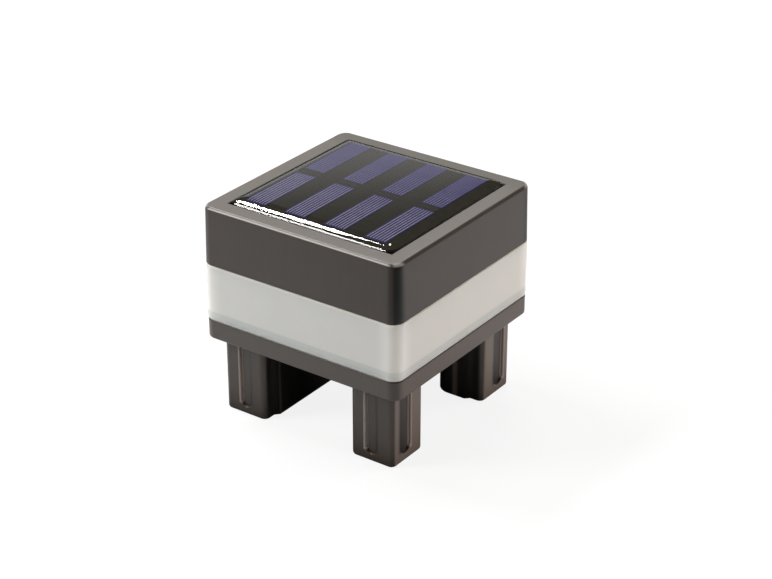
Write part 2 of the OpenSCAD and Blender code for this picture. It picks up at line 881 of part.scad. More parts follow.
module base_housing() {
    color([0.30, 0.28, 0.26]) {
        difference() {
            union() {
                difference() {
                    tray_block();
                    translate([0, 0, z_floor])
                        linear_extrude(tray_h)
                            rounded_square(groove_half, groove_half - core_half);
                }
                // The lip inside the band, and the shelf inside the lip
                translate([0, 0, z_floor - floor_t / 2])
                    square_ring(lip_half, lip_outer_r, lip_inner, lip_inner_r,
                                z_lip - z_floor + floor_t / 2);
                translate([0, 0, z_floor - floor_t / 2])
                    square_ring(lip_inner + lip_t / 2, lip_inner_r, shelf_half, lip_inner_r,
                                shelf_h + floor_t / 2);
                at_posts()
                    translate([0, 0, z_tray + floor_t / 2])
                        cylinder(h = z_post_bottom - z_tray - floor_t / 2, d = boss_d);
                for (y = [0, 1])
                    mirror([0, y, 0])
                        linear_extrude(leg_h + floor_t / 2)
                            leg_outline();
                battery_box();
                // The guard round the switch's knob
                translate([switch_x, 0, z_tray - guard_h])
                    linear_extrude(guard_h + floor_t / 2)
                        long_hole(knob_w + 2 * guard_gap + 2 * guard_t,
                                  knob_w + knob_travel + 2 * guard_gap + 2 * guard_t);
                // The clips at the ends of the switch
                for (y = [-1, 1])
                    translate([switch_x - switch_w / 2, y * (switch_l / 2 + fit + clip_t / 2) - clip_t / 2,
                               z_tray + floor_t / 2])
                        cube([switch_w, clip_t, clip_h + floor_t / 2]);
            }
            // The legs' hollows, open to the tray
            for (y = [0, 1])
                mirror([0, y, 0])
                    translate([0, 0, leg_bottom_t])
                        linear_extrude(leg_h + floor_t)
                            leg_hollow();
            // The flutes
            for (y = [-1, 1])
                for (x = [-1, 1])
                    translate([x * flute_x, y * leg_half, 0])
                        rotate(y > 0 ? 0 : 180)
                            flute(flute_w);
            for (y = [-1, 1])
                translate([leg_half, y * side_flute_y, 0])
                    rotate(-90)
                        flute(side_flute_w);
            // The screw holes
            at_posts() {
                translate([0, 0, z_tray - over])
                    cylinder(h = foot_seat - z_tray + over, d = head_hole_d);
                translate([0, 0, z_tray])
                    cylinder(h = tray_h, d = screw_hole_d);
            }
            // The knob's slot, and the room inside its guard
            translate([switch_x, 0, z_tray - guard_h - over])
                linear_extrude(guard_h + over)
                    long_hole(knob_w + 2 * guard_gap, knob_w + knob_travel + 2 * guard_gap);
            translate([switch_x, 0, z_tray - over])
                linear_extrude(floor_t + 2 * over)
                    square([knob_w + 2 * slide_fit, knob_w + knob_travel + 2 * slide_fit], center = true);
            // The slots for the contacts' tabs, and the gaps in the shelf above them
            for (y = [0, 1])
                mirror([0, y, 0]) {
                    translate([battery_x, box_end - contact_t / 2, z_tray])
                        cube([tab_w + 2 * fit, contact_t + 2 * fit, tray_h], center = true);
                    translate([battery_x - tab_w / 2 - leg_wall, shelf_half - over, z_floor])
                        cube([tab_w + 2 * leg_wall, lip_inner - shelf_half + over, tray_h]);
                }
        }
    }
}

// Square pyramid with a flat top
module frustum(foot_w, top_w, h) {
    half_side = [[-foot_w / 2, 0], [foot_w / 2, 0], [top_w / 2, h], [-top_w / 2, h]];
    intersection() {
        rotate([90, 0, 0])
            linear_extrude(foot_w, center = true)
                polygon(half_side);
        rotate([90, 0, 90])
            linear_extrude(foot_w, center = true)
                polygon(half_side);
    }
}

module reflector() {
    reflector_half = lip_inner - reflector_gap;
    color([0.93, 0.93, 0.92])
        translate([0, 0, z_shelf])
            difference() {
                union() {
                    linear_extrude(reflector_t)
                        square(2 * reflector_half, center = true);
                    translate([0, 0, reflector_t / 2])
                        frustum(reflector_foot_w, reflector_top_w, reflector_rise + reflector_t / 2);
                }
                translate([0, 0, -reflector_t / 2])
                    frustum(reflector_foot_w - reflector_t, reflector_top_w - reflector_t, reflector_rise);
                translate([0, 0, -over])
                    at_posts()
                        cylinder(h = reflector_t + 2 * over, d = post_d + 2 * slide_fit);
                translate([0, 0, reflector_rise - over])
                    cylinder(h = reflector_t + 2 * over, d = reflector_hole_d);
            }
}

module cap_screws() {
    color("silver")
        at_posts()
            translate([0, 0, boss_seat_top])
                screw(screw_d, screw_l, screw_head_d, screw_head_h);
}

module base_screws() {
    color("silver")
        at_posts()
            translate([0, 0, foot_seat])
                mirror([0, 0, 1])
                    screw(screw_d, screw_l, screw_head_d, screw_head_h);
}

module circuit_board() {
    color([0.10, 0.36, 0.18])
        difference() {
            translate([0, 0, z_board])
                linear_extrude(board_t)
                    square(2 * board_half, center = true);
            at_board_screws()
                translate([0, 0, z_board - over])
                    cylinder(h = board_t + 2 * over, d = small_hole_d);
        }
}

module board_screws() {
    color("silver")
        at_board_screws()
            translate([0, 0, z_board])
                mirror([0, 0, 1])
                    screw(small_screw_d, small_screw_l, small_head_d, small_head_h);
}

// Repeats a thing under the circuit board at the four lamps
module at_leds() {
    for (turn = [0:3])
        rotate(turn * 90 + 45)
            translate([led_place, 0, z_board - led_stand])
                children();
}

module leds() {
    color([0.92, 0.92, 0.85, 0.7])
        at_leds() {
            translate([0, 0, -led_flange_h])
                cylinder(h = led_flange_h, d = led_flange_d);
            translate([0, 0, led_d / 2 - led_h])
                cylinder(h = led_h - led_d / 2 - led_flange_h / 2, d = led_d);
            translate([0, 0, led_d / 2 - led_h])
                sphere(d = led_d);
        }
}

module led_legs() {
    color("silver")
        at_leds()
            for (y = [-1, 1])
                translate([-leg_wire_w / 2, y * led_leg_gap / 2 - leg_wire_w / 2, 0])
                    cube([leg_wire_w, leg_wire_w, led_stand]);
}

module controller_chip() {
    color([0.08, 0.08, 0.09])
        translate([chip_place.x, chip_place.y, z_board_top]) {
            translate([-chip_size.x / 2, -chip_size.y / 2, chip_stand])
                cube(chip_size);
            for (y = [-1, 1])
                for (i = [0:chip_leg_count - 1])
                    translate([(i - (chip_leg_count - 1) / 2) * chip_leg_pitch - chip_leg_w / 2, 0, 0]) {
                        translate([0, y > 0 ? chip_size.y / 2 : -chip_size.y / 2 - chip_leg_out, 0])
                            cube([chip_leg_w, chip_leg_out, chip_leg_t]);
                        translate([0, y * (chip_size.y / 2 + chip_leg_t / 2) - chip_leg_t, 0])
                            cube([chip_leg_w, 2 * chip_leg_t, chip_size.z / 2]);
                    }
        }
}

module inductor_core() {
    color([0.16, 0.16, 0.17])
        translate([inductor_place.x, inductor_place.y, z_board_top]) {
            cylinder(h = inductor_flange_t, d = inductor_d);
            cylinder(h = inductor_h, d = inductor_core_d);
            translate([0, 0, inductor_h - inductor_flange_t])
                cylinder(h = inductor_flange_t, d = inductor_d);
        }
}

module inductor_coil() {
    color([0.72, 0.42, 0.22])
        translate([inductor_place.x, inductor_place.y, z_board_top + inductor_flange_t])
            difference() {
                cylinder(h = inductor_h - 2 * inductor_flange_t, d = coil_d);
                translate([0, 0, -over])
                    cylinder(h = inductor_h, d = inductor_core_d);
            }
}

module capacitor() {
    color([0.15, 0.17, 0.30])
        translate([capacitor_place.x, capacitor_place.y, z_board_top])
            difference() {
                cylinder(h = capacitor_h, d = capacitor_d);
                translate([0, 0, capacitor_groove_z])
                    difference() {
                        cylinder(h = capacitor_groove_h, d = capacitor_d + over);
                        translate([0, 0, -over])
                            cylinder(h = capacitor_groove_h + 2 * over,
                                     d = capacitor_d - 2 * capacitor_ring);
                    }
            }
}

module resistors() {
    color([0.10, 0.10, 0.10])
        for (place = resistor_places)
            translate([place.x - resistor_size.x / 2, place.y - resistor_size.y / 2, z_board_top])
                cube(resistor_size);
}

module switch_case() {
    color([0.62, 0.63, 0.64])
        translate([switch_x, 0, z_switch])
            difference() {
                translate([-switch_w / 2, -switch_l / 2, 0])
                    cube([switch_w, switch_l, switch_h]);
                translate([-switch_w / 2 + switch_seal_t, -knob_flange_l / 2 - knob_travel / 2 - fit, -over])
                    cube([switch_w - 2 * switch_seal_t, knob_flange_l + knob_travel + 2 * fit,
                          knob_flange_h + knob_rise + fit + over]);
            }
}

module switch_pins() {
    color("silver")
        for (i = [-1:1])
            translate([switch_x - pin_w / 2, i * pin_pitch - pin_w / 2, z_switch_top])
                cube([pin_w, pin_w, pin_h]);
}

module switch_seal() {
    color([0.14, 0.14, 0.14])
        translate([switch_x, 0, z_floor])
            linear_extrude(switch_seal_t)
                difference() {
                    square([switch_w, switch_l], center = true);
                    square([knob_w + 2 * slide_fit, knob_w + knob_travel + 2 * slide_fit], center = true);
                }
}

// The knob rests at the -Y end of its slot and slides towards +Y
module switch_knob() {
    knob_tip = z_tray - knob_proud;
    flange_w = switch_w - 2 * switch_seal_t - 2 * fit;
    grip_w = 0.5;
    grip_depth = 0.35;
    color([0.85, 0.85, 0.83])
        translate([switch_x, -knob_travel / 2, 0])
            difference() {
                union() {
                    translate([-knob_w / 2, -knob_w / 2, knob_tip])
                        cube([knob_w, knob_w, z_switch + knob_rise + knob_flange_h / 2 - knob_tip]);
                    translate([-flange_w / 2, -knob_flange_l / 2, z_switch + knob_rise])
                        cube([flange_w, knob_flange_l, knob_flange_h]);
                }
                translate([-knob_w, -grip_w / 2, knob_tip - over])
                    cube([2 * knob_w, grip_w, grip_depth + over]);
            }
}

module along_battery(y, h, d) {
    translate([battery_x, y, battery_z])
        rotate([-90, 0, 0])
            cylinder(h = h, d = d);
}

module battery_can() {
    can_l = battery_shoulder - battery_foot;
    can_d = battery_d - 2 * sleeve_t;
    color([0.75, 0.75, 0.76])
        difference() {
            along_battery(battery_foot, can_l, can_d);
            along_battery(battery_foot + can_t, can_l - 2 * can_t, can_d - 2 * can_t);
        }
}

module battery_core() {
    core_gap = 0.05;
    color([0.35, 0.35, 0.36])
        along_battery(battery_foot + can_t, battery_shoulder - battery_foot - 2 * can_t,
                      battery_d - 2 * sleeve_t - 2 * can_t - 2 * core_gap);
}

module battery_sleeve() {
    sleeve_gap = 0.02;
    color([0.20, 0.42, 0.30])
        difference() {
            along_battery(battery_foot, battery_shoulder - battery_foot, battery_d);
            along_battery(battery_foot - over, battery_shoulder - battery_foot + 2 * over,
                          battery_d - 2 * sleeve_t + 2 * sleeve_gap);
        }
}

module battery_button() {
    color([0.78, 0.78, 0.78])
        along_battery(battery_shoulder, button_h, button_d);
}

// The spring winds inwards from the contact plate to the battery
module battery_spring() {
    head_r = 1.9;
    seat = 0.05;
    steps = 16;
    spring_r = spring_wire_d / 2;
    foot_r = contact_w / 2 - spring_r - seat;
    first_y = -box_end + contact_t + spring_r + seat;
    rise = spring_l - spring_wire_d - 2 * seat;
    points = [for (i = [0:spring_turns * steps])
                 let (share = i / (spring_turns * steps), r = foot_r + (head_r - foot_r) * share,
                      a = 360 * i / steps)
                     [battery_x + r * cos(a), first_y + rise * share, battery_z + r * sin(a)]];
    color([0.80, 0.80, 0.80])
        tube(points, spring_r);
}

// Contact plate with its tab, in the +Y end of the box
module contact_plate() {
    translate([battery_x - contact_w / 2, box_end - contact_t, contact_bottom])
        cube([contact_w, contact_t, contact_top - contact_bottom]);
    translate([battery_x - tab_w / 2, box_end - contact_t, contact_top - contact_t])
        cube([tab_w, contact_t, tab_top - contact_top + contact_t]);
}

module positive_contact() {
    color([0.80, 0.68, 0.40]) {
        contact_plate();
        along_battery(battery_tip, bump_h + contact_t / 2, bump_d);
    }
}

module negative_contact() {
    color([0.80, 0.80, 0.80])
        mirror([0, 1, 0])
            contact_plate();
}

module battery_cover() {
    color([0.30, 0.28, 0.26])
        difference() {
            union() {
                translate([cover_face, -cover_y, cover_low])
                    rotate([90, 0, 90])
                        linear_extrude(cover_t)
                            rounded_plate(2 * cover_y, cover_high - cover_low, cover_r);
                translate([cover_inner - cover_t / 2, 0, cover_screw_z])
                    rotate([0, 90, 0])
                        cylinder(h = cover_boss_end - cover_inner + cover_t / 2, d = cover_boss_d);
            }
            translate([cover_face - over, 0, cover_screw_z])
                rotate([0, 90, 0])
                    cylinder(h = small_head_h + fit + over, d = small_head_d + 2 * fit);
            translate([cover_face - over, 0, cover_screw_z])
                rotate([0, 90, 0])
                    cylinder(h = cover_boss_end - cover_face + 2 * over, d = small_hole_d);
        }
}

module cover_seal() {
    seal_y = cover_y - fit;
    seal_high = cover_high - fit;
    seal_low = cover_low + fit;
    color([0.14, 0.14, 0.14])
        translate([cover_inner, -seal_y, seal_low])
            rotate([90, 0, 90])
                linear_extrude(cover_seal_t)
                    difference() {
                        rounded_plate(2 * seal_y, seal_high - seal_low, cover_r);
                        translate([cover_seal_w, cover_seal_w])
                            square([2 * (seal_y - cover_seal_w), seal_high - seal_low - 2 * cover_seal_w]);
                    }
}

module cover_screw() {
    color("silver")
        translate([cover_face + fit + small_head_h, 0, cover_screw_z])
            rotate([0, -90, 0])
                screw(small_screw_d, small_screw_l, small_head_d, small_head_h);
}

// Lead from the panel's underside to the circuit board, at one side of the middle
module panel_lead(side) {
    pad = [side * panel_pad_x, panel_hole_y];
    end = [side * board_pad_x, panel_hole_y];
    lead([[pad.x, pad.y, z_panel],
          [pad.x, pad.y, z_recess_under],
          [pad.x, pad.y, z_recess_under - lead_d],
          [end.x, end.y, z_board_top + 2 * lead_d],
          [end.x, end.y, z_board_top]]);
}

module panel_wire_red() {
    color([0.70, 0.10, 0.08])
        panel_lead(-1);
}

module panel_wire_black() {
    color([0.10, 0.10, 0.10])
        panel_lead(1);
}

// Height at which the leads lie under the reflector, and the place of their pads
z_lead = z_floor + lead_d;
lead_bend = 3;

module battery_wire_black() {
    start = [battery_x, -box_end + contact_t, tab_top - lead_d];
    color([0.10, 0.10, 0.10])
        lead([start,
              start + [0, lead_d, 0],
              [battery_x, -post_y + lead_bend, z_lead],
              [-post_x - lead_bend, -lead_bend, z_lead],
              [-tray_pad_x - lead_r, 0, z_lead + lead_bend],
              [-tray_pad_x, 0, reflector_z_top],
              [-tray_pad_x, 0, z_board - lead_bend],
              [-tray_pad_x, 0, z_board]]);
}

module battery_wire_red() {
    start = [battery_x, box_end - contact_t, tab_top - lead_d];
    color([0.70, 0.10, 0.08])
        lead([start,
              start - [0, lead_d, 0],
              [battery_x, post_y - lead_bend, z_lead],
              [-post_x, 2 * lead_bend, z_lead],
              [switch_x - lead_bend, pin_pitch, z_switch_top + pin_h / 2],
              [switch_x - pin_w / 2, pin_pitch, z_switch_top + pin_h / 2]]);
}

module switch_wire() {
    color([0.85, 0.85, 0.82])
        lead([[switch_x, 0, z_switch_top + pin_h],
              [switch_x, 0, z_switch_top + pin_h + lead_d],
              [tray_pad_x, 0, reflector_z_top],
              [tray_pad_x, 0, z_board - lead_bend],
              [tray_pad_x, 0, z_board]]);
}

cap_shell();
panel_tape();
solar_board();
solar_cells();
cell_ribbons();
panel_resin();
cap_gasket();
light_band();
band_gasket();
base_housing();
reflector();
cap_screws();
base_screws();
circuit_board();
board_screws();
leds();
led_legs();
controller_chip();
inductor_core();
inductor_coil();
capacitor();
resistors();
switch_case();
switch_pins();
switch_seal();
switch_knob();
battery_can();
battery_core();
battery_sleeve();
battery_button();
battery_spring();
positive_contact();
negative_contact();
battery_cover();
cover_seal();
cover_screw();
panel_wire_red();
panel_wire_black();
battery_wire_red();
battery_wire_black();
switch_wire();
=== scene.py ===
"""Looks of the solar fence light: a dark cap with a domed panel, a frosted band, and a base on legs."""

import json
from math import acos, cos, pi, radians

import bmesh
import bpy
from mathutils import Matrix, Quaternion, Vector


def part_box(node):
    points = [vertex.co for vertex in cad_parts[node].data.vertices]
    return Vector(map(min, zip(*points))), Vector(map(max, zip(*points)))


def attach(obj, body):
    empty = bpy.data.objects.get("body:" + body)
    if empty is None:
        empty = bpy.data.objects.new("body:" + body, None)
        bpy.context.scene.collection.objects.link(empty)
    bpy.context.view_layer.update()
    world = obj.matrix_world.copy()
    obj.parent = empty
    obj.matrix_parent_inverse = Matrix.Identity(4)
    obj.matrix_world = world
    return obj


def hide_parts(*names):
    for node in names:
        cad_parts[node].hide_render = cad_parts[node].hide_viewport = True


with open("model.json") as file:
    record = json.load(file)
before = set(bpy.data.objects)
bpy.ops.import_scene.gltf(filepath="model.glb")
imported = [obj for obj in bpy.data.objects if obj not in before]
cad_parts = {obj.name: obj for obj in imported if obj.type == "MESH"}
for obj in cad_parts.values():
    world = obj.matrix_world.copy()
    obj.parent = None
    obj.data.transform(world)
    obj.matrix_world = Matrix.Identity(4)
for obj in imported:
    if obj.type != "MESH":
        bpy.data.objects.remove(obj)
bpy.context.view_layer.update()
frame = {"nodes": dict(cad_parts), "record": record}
MM = 0.001
SAME_PLACE = MM / 2000  # corners closer than this are one corner

# Heights over the feet, and half widths of the cap and tray and of the legs
CAP_LOW, CAP_TOP = (corner.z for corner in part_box("cap_shell"))
TRAY_LOW, TRAY_HIGH = 21.4 * MM, 26.8 * MM
BODY_HALF, LEG_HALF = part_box("cap_shell")[1].x, 26.55 * MM


# Materials

class Value:
    """A shader socket that can be used in sums, as a number would be."""

    def __init__(self, nodes, socket):
        self.nodes, self.socket = nodes, socket

    def calc(self, operation, *terms):
        return self.nodes.node("Math", {"operation": operation}, dict(enumerate(terms)))

    def __add__(self, other):
        return self.calc("ADD", self, other)

    def __sub__(self, other):
        return self.calc("SUBTRACT", self, other)

    def __rsub__(self, other):
        return self.calc("SUBTRACT", other, self)

    def __mul__(self, other):
        return self.calc("MULTIPLY", self, other)

    def __abs__(self):
        return self.calc("ABSOLUTE", self)

    __radd__ = __add__
    __rmul__ = __mul__


class Nodes:
    """A node tree that is being wired, of a material or of the world."""

    def __init__(self, tree):
        self.tree = tree

    def node(self, kind, settings=None, inputs=None, output=0):
        made = self.tree.nodes.new("ShaderNode" + kind)
        for key, value in (settings or {}).items():
            setattr(made, key, value)
        for key, value in (inputs or {}).items():
            self.join(value, made.inputs[key])
        return Value(self, made.outputs[output])

    def join(self, value, socket):
        if isinstance(value, Value):
            self.tree.links.new(value.socket, socket)
        else:
            socket.default_value = value

    def parts(self, vector):
        """The x, y and z of a vector."""
        return [self.node("SeparateXYZ", inputs={0: vector}, output=i) for i in range(3)]

    def rays(self, *kinds):
        """For each kind of ray, 1 for the rays of that kind and 0 for others."""
        return [self.node("LightPath", output=f"Is {kind} Ray") for kind in kinds]

    def mix(self, share, first, second):
        return self.node("Mix", {"data_type": "RGBA"}, {0: share, 6: first, 7: second}, output=2)

    def between(self, value, low, high, first=0.0, last=1.0):
        """first below low, last above high, and a soft step from one to the other."""
        return self.node("MapRange", {"interpolation_type": "SMOOTHSTEP"},
                         {0: value, 1: low, 2: high, 3: first, 4: last})

    def under(self, value, limit, soft):
        """1 below the limit, and 0 from soft above it."""
        return self.between(value, limit, limit + soft, 1, 0)

    def near(self, value, centre, full, none):
        """1 up to full from the centre, and 0 from none on."""
        return self.between(abs(value - centre), full, none, 1, 0)


class Finish(Nodes):
    """A material that is being made. Sizes in it are in metres, because it reads Object coordinates."""

    def __init__(self, name, **constants):
        self.material = bpy.data.materials.new(name)
        self.material.use_nodes = True
        super().__init__(self.material.node_tree)
        self.shader = self.tree.nodes["Principled BSDF"]
        for socket, value in constants.items():
            self.shader.inputs[socket.replace("_", " ")].default_value = value
        self.place = self.node("TexCoord", output="Object")
        self.x, self.y, self.z = self.parts(self.place)

    def set(self, **values):
        for socket, value in values.items():
            self.join(value, self.shader.inputs[socket.replace("_", " ")])

    def noise(self, size, detail=2.0, stretch=None):
        """Soft noise from 0 to 1 whose spots are about size wide."""
        place = self.place
        if stretch:
            place = self.node("VectorMath", {"operation": "MULTIPLY"}, {0: place, 1: stretch})
        return self.node("TexNoise", inputs={"Vector": place, "Scale": 1 / size, "Detail": detail})

    def bump(self, height, depth, strength=1.0):
        self.set(Normal=self.node("Bump", inputs={"Height": height, "Distance": depth, "Strength": strength}))

    def cover(self, share, other):
        """Mixes another shader over what the surface shows so far."""
        surface = self.tree.nodes["Material Output"].inputs["Surface"]
        mixed = self.node("MixShader", inputs={0: share, 1: Value(self, surface.links[0].from_socket), 2: other})
        self.join(mixed, surface)


def tone(red, green, blue):
    """A colour, given as it looks on the screen from 0 to 255."""
    return tuple((c / 255 / 12.92 if c <= 10 else ((c / 255 + 0.055) / 1.055) ** 2.4)
                 for c in (red, green, blue)) + (1.0,)


def dark_plastic(name="dark_plastic", painted_light=None):
    """Satin moulded plastic, dark and warm grey, with a very fine mould grain and faint upright marks."""
    f = Finish(name, Specular_IOR_Level=0.5)
    cloud = f.noise(9 * MM, 3)
    streak = f.noise(1.6 * MM, 3, (1.0, 1.0, 0.06))
    grain = f.noise(0.16 * MM, 2)
    colour = f.mix(cloud * 0.45 + streak * 0.4 + grain * 0.15, tone(38, 31, 26), tone(62, 53, 45))
    # Painted light and shade, if a function for them is given, are mixed over the colour here
    for share, other in painted_light(f) if painted_light else ():
        colour = f.mix(share, colour, tone(*other))
    f.set(Base_Color=colour, Roughness=0.34 + streak * 0.1 + grain * 0.06)
    f.bump(grain + streak * 0.6, 0.012 * MM, 0.5)
    return f


def cap_painted_light(f):
    """Painted light and shade: a sheen on the rim, less at the back, highlights on its top edges, shade in the recess
    and on the upright corners.
    """
    # Painted sheen: the rim's top is painted lighter, and a little darker again at the back
    rim = f.between(f.z, CAP_TOP - 0.15 * MM, CAP_TOP - 0.02 * MM)
    yield rim * 0.8, (97, 93, 88)
    yield rim * f.between(f.y, 20 * MM, 26 * MM), (82, 78, 72)

    # Painted shade inside the recess, near its top
    recess_half = 24.9 * MM
    recess = f.under(abs(f.x), recess_half, 0.2 * MM) * f.under(abs(f.y), recess_half, 0.2 * MM)
    yield f.between(f.z, CAP_TOP - 3 * MM, CAP_TOP - 2.5 * MM) * recess, (34, 29, 25)

    # Painted shade on the upright corners' roundings on the side of the y faces; painted highlights on the rounded
    # top edges
    corner = (f.between(abs(f.x) + abs(f.y), 55.4 * MM, 57.2 * MM)
              * f.between(abs(f.x) - abs(f.y), -1.4 * MM, -0.2 * MM))
    edge_low = CAP_TOP - 0.85 * MM
    yield corner * f.under(f.z, CAP_TOP - 1 * MM, 0.6 * MM), (4, 4, 4)
    yield (f.between(abs(f.y), BODY_HALF - 0.7 * MM, BODY_HALF - 0.45 * MM)
           * f.between(f.z, edge_low + 0.1 * MM, edge_low + 0.35 * MM)), (160, 155, 150)
    yield (corner * f.between(f.z, edge_low, edge_low + 0.25 * MM)
           * f.under(f.z, CAP_TOP - 0.15 * MM, 0.15 * MM) * 0.4), (205, 200, 195)


def base_painted_light(f):
    """Painted light and shade: nearly black between the legs with two soft painted highlights, lighter x faces and
    tray, and one lighter and one darker side in each flute.
    """
    legs = f.under(f.z, TRAY_LOW - 0.5 * MM, 0.4 * MM)
    inner_half = 25.4 * MM
    inner = legs * f.under(abs(f.x), inner_half, 0.4 * MM) * f.under(abs(f.y), inner_half, 0.4 * MM)
    # Painted shade between the legs
    yield inner, (22, 20, 19)

    # Painted highlights: soft upright stripes on the inner faces of the left leg and of the right leg
    inner_face, left_stripe, right_stripe = -12.6 * MM, -22.6 * MM, 18.8 * MM
    yield (inner * f.between(f.x, inner_face, inner_face + 0.4 * MM)
           * f.near(f.y, left_stripe, 0.2 * MM, 1.6 * MM)), (98, 88, 80)
    yield inner * f.between(f.y, 0, 1 * MM) * f.near(f.x, right_stripe, 0.2 * MM, 1.2 * MM), (92, 82, 75)

    # Painted light on the outer x faces of the legs and on the tray, more on the tray's x faces
    yield legs * f.between(abs(f.x), LEG_HALF - 0.25 * MM, LEG_HALF - 0.05 * MM) * 0.9, (106, 96, 88)
    tray = f.between(f.z, TRAY_LOW + 0.1 * MM, TRAY_LOW + 0.5 * MM) * f.under(f.z, TRAY_HIGH - 0.6 * MM, 0.4 * MM)
    yield tray * 0.8, (72, 67, 62)
    yield tray * f.between(abs(f.x), BODY_HALF - 0.7 * MM, BODY_HALF - 0.1 * MM) * 0.8, (84, 75, 69)

    # A painted highlight and a painted shade line in each flute. Each has its distance in millimetres from the
    # flute's middle, and the distances from its own middle up to which it is full and from which it is gone
    flute_foot, flute_floor = 2.6 * MM, 25.6 * MM
    fluted = legs * f.between(f.z, flute_foot, flute_foot + 0.6 * MM)
    for out, across, flute_place, light, dark in (
            (f.y, f.x, 19.8 * MM, (-1.75, 0.3, 0.65, 1.0, (140, 132, 126)), (1.6, 0.3, 0.9, 0.8, (14, 13, 12))),
            (f.x, f.y, 21.2 * MM, (2.25, 0.25, 0.6, 1.0, (150, 140, 133)), (-1.2, 0.8, 2.4, 0.7, (16, 14, 13)))):
        deep = f.between(abs(out), flute_floor, flute_floor + 0.2 * MM)
        along = across - across.calc("SIGN", across) * flute_place
        for centre, full, none, share, colour in (light, dark):
            yield fluted * deep * f.near(along, centre * MM, full * MM, none * MM) * share, colour


def frosted_plastic():
    """Milky moulded plastic, with painted light and shade: a dim stripe for the tray's lip behind it, a lighter foot,
    a lighter top edge, and faintly glowing corners.
    """
    f = Finish("frosted_plastic", Subsurface_Weight=0.9, Subsurface_Scale=6 * MM,
               Subsurface_Radius=(1.0, 0.95, 0.85), Specular_IOR_Level=0.4, Emission_Strength=0.08)
    cloud = f.noise(14 * MM, 3)
    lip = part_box("base_housing")[1].z
    # Painted shade of the tray's lip behind the band, as a dim stripe
    painted_lip_shade = f.between(f.z, lip - 1.9 * MM, lip - 1.5 * MM) * f.under(f.z, lip - 0.2 * MM, 0.5 * MM)
    # Painted light: the band's lowest edge is painted lighter
    foot = f.under(f.z, lip - 2.0 * MM, 0.4 * MM)
    # Painted highlight along the band's top edge, under the cap
    painted_top_highlight = f.between(f.z, CAP_LOW - 0.9 * MM, CAP_LOW - 0.2 * MM)
    # Painted light: the upright corners glow faintly through the emission colour
    corner = f.between(abs(f.x) + abs(f.y), 53.5 * MM, 57.5 * MM)
    body = f.mix(cloud, tone(222, 223, 218), tone(229, 229, 224))
    body = f.mix(painted_lip_shade * (0.45 + cloud * 0.5), body, tone(196, 203, 197))
    body = f.mix(foot * 0.5, body, tone(240, 240, 234))
    f.set(Base_Color=f.mix(painted_top_highlight * 0.6, body, tone(246, 242, 222)), Roughness=0.42 + cloud * 0.08,
          Emission_Color=f.mix(corner, (0, 0, 0, 1), (1.0, 0.96, 0.91, 1)))
    f.bump(f.noise(0.2 * MM, 2), 0.006 * MM, 0.4)
    return f


def clear_resin():
    """Clear cast resin. It bends what lies under it, and lets the lamps' light straight through."""
    f = Finish("clear_resin", Base_Color=(0.97, 0.97, 0.96, 1), Roughness=0.02, IOR=1.5, Transmission_Weight=1.0)
    shadow_ray, diffuse_ray = f.rays("Shadow", "Diffuse")
    f.cover(shadow_ray + diffuse_ray, f.node("BsdfTransparent", inputs={"Color": (0.97, 0.97, 0.96, 1)}))
    return f


def panel_board():
    """Dull olive grey laminate, under the cells."""
    f = Finish("panel_board", Specular_IOR_Level=0.0)
    weave = f.noise(2.5 * MM, 3)
    f.set(Base_Color=f.mix(weave, tone(30, 28, 24), tone(40, 38, 32)), Roughness=0.6 + weave * 0.1)
    return f


def silicon():
    """Violet blue cells with large faint crystal patches."""
    f = Finish("silicon", Specular_IOR_Level=0.0)
    crystal = f.node("TexVoronoi", {"feature": "F1"}, {"Vector": f.place, "Scale": 1 / (2.2 * MM)}, output=1)
    shade = f.node("SeparateColor", inputs={0: crystal})
    cloud = f.noise(6 * MM, 2)
    f.set(Base_Color=f.mix(cloud * 0.7 + shade * 0.3, tone(38, 36, 67), tone(55, 52, 85)),
          Roughness=0.28 + shade * 0.12)
    return f


def silver_fingers():
    """Printed silver lines, with painted light: bright towards the front of the panel, and dimmer towards the back
    and at their far ends.
    """
    f = Finish("silver_fingers", Specular_IOR_Level=0.0)
    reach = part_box("solar_cells")[1].y
    # Painted light: bright at the front, dim towards the back
    painted_back_dimming = f.between(f.y + f.noise(5 * MM, 2) * 9 * MM, -0.6 * reach, 1.1 * reach)
    f.set(Base_Color=f.mix(painted_back_dimming, tone(148, 146, 156), tone(74, 71, 108)), Roughness=0.4 + painted_back_dimming * 0.2)
    return f


def metal(name, dark, light, rough, grain=0.3 * MM):
    """Plated metal with fine marks."""
    f = Finish(name, Metallic=1.0)
    mark = f.noise(grain, 3)
    f.set(Base_Color=f.mix(mark, tone(*dark), tone(*light)), Roughness=rough + mark * 0.12)
    f.bump(mark, 0.01 * MM, 0.3)
    return f


def plain(name, dark, light, rough, spot=0.6 * MM, depth=0.01 * MM, specular=0.5):
    """Plastic, rubber, laminate or lacquer, with soft spots of two close colours."""
    f = Finish(name, Specular_IOR_Level=specular)
    spots = f.noise(spot, 3)
    f.set(Base_Color=f.mix(spots, tone(*dark), tone(*light)), Roughness=rough + spots * 0.1)
    f.bump(spots, depth, 0.4)
    return f


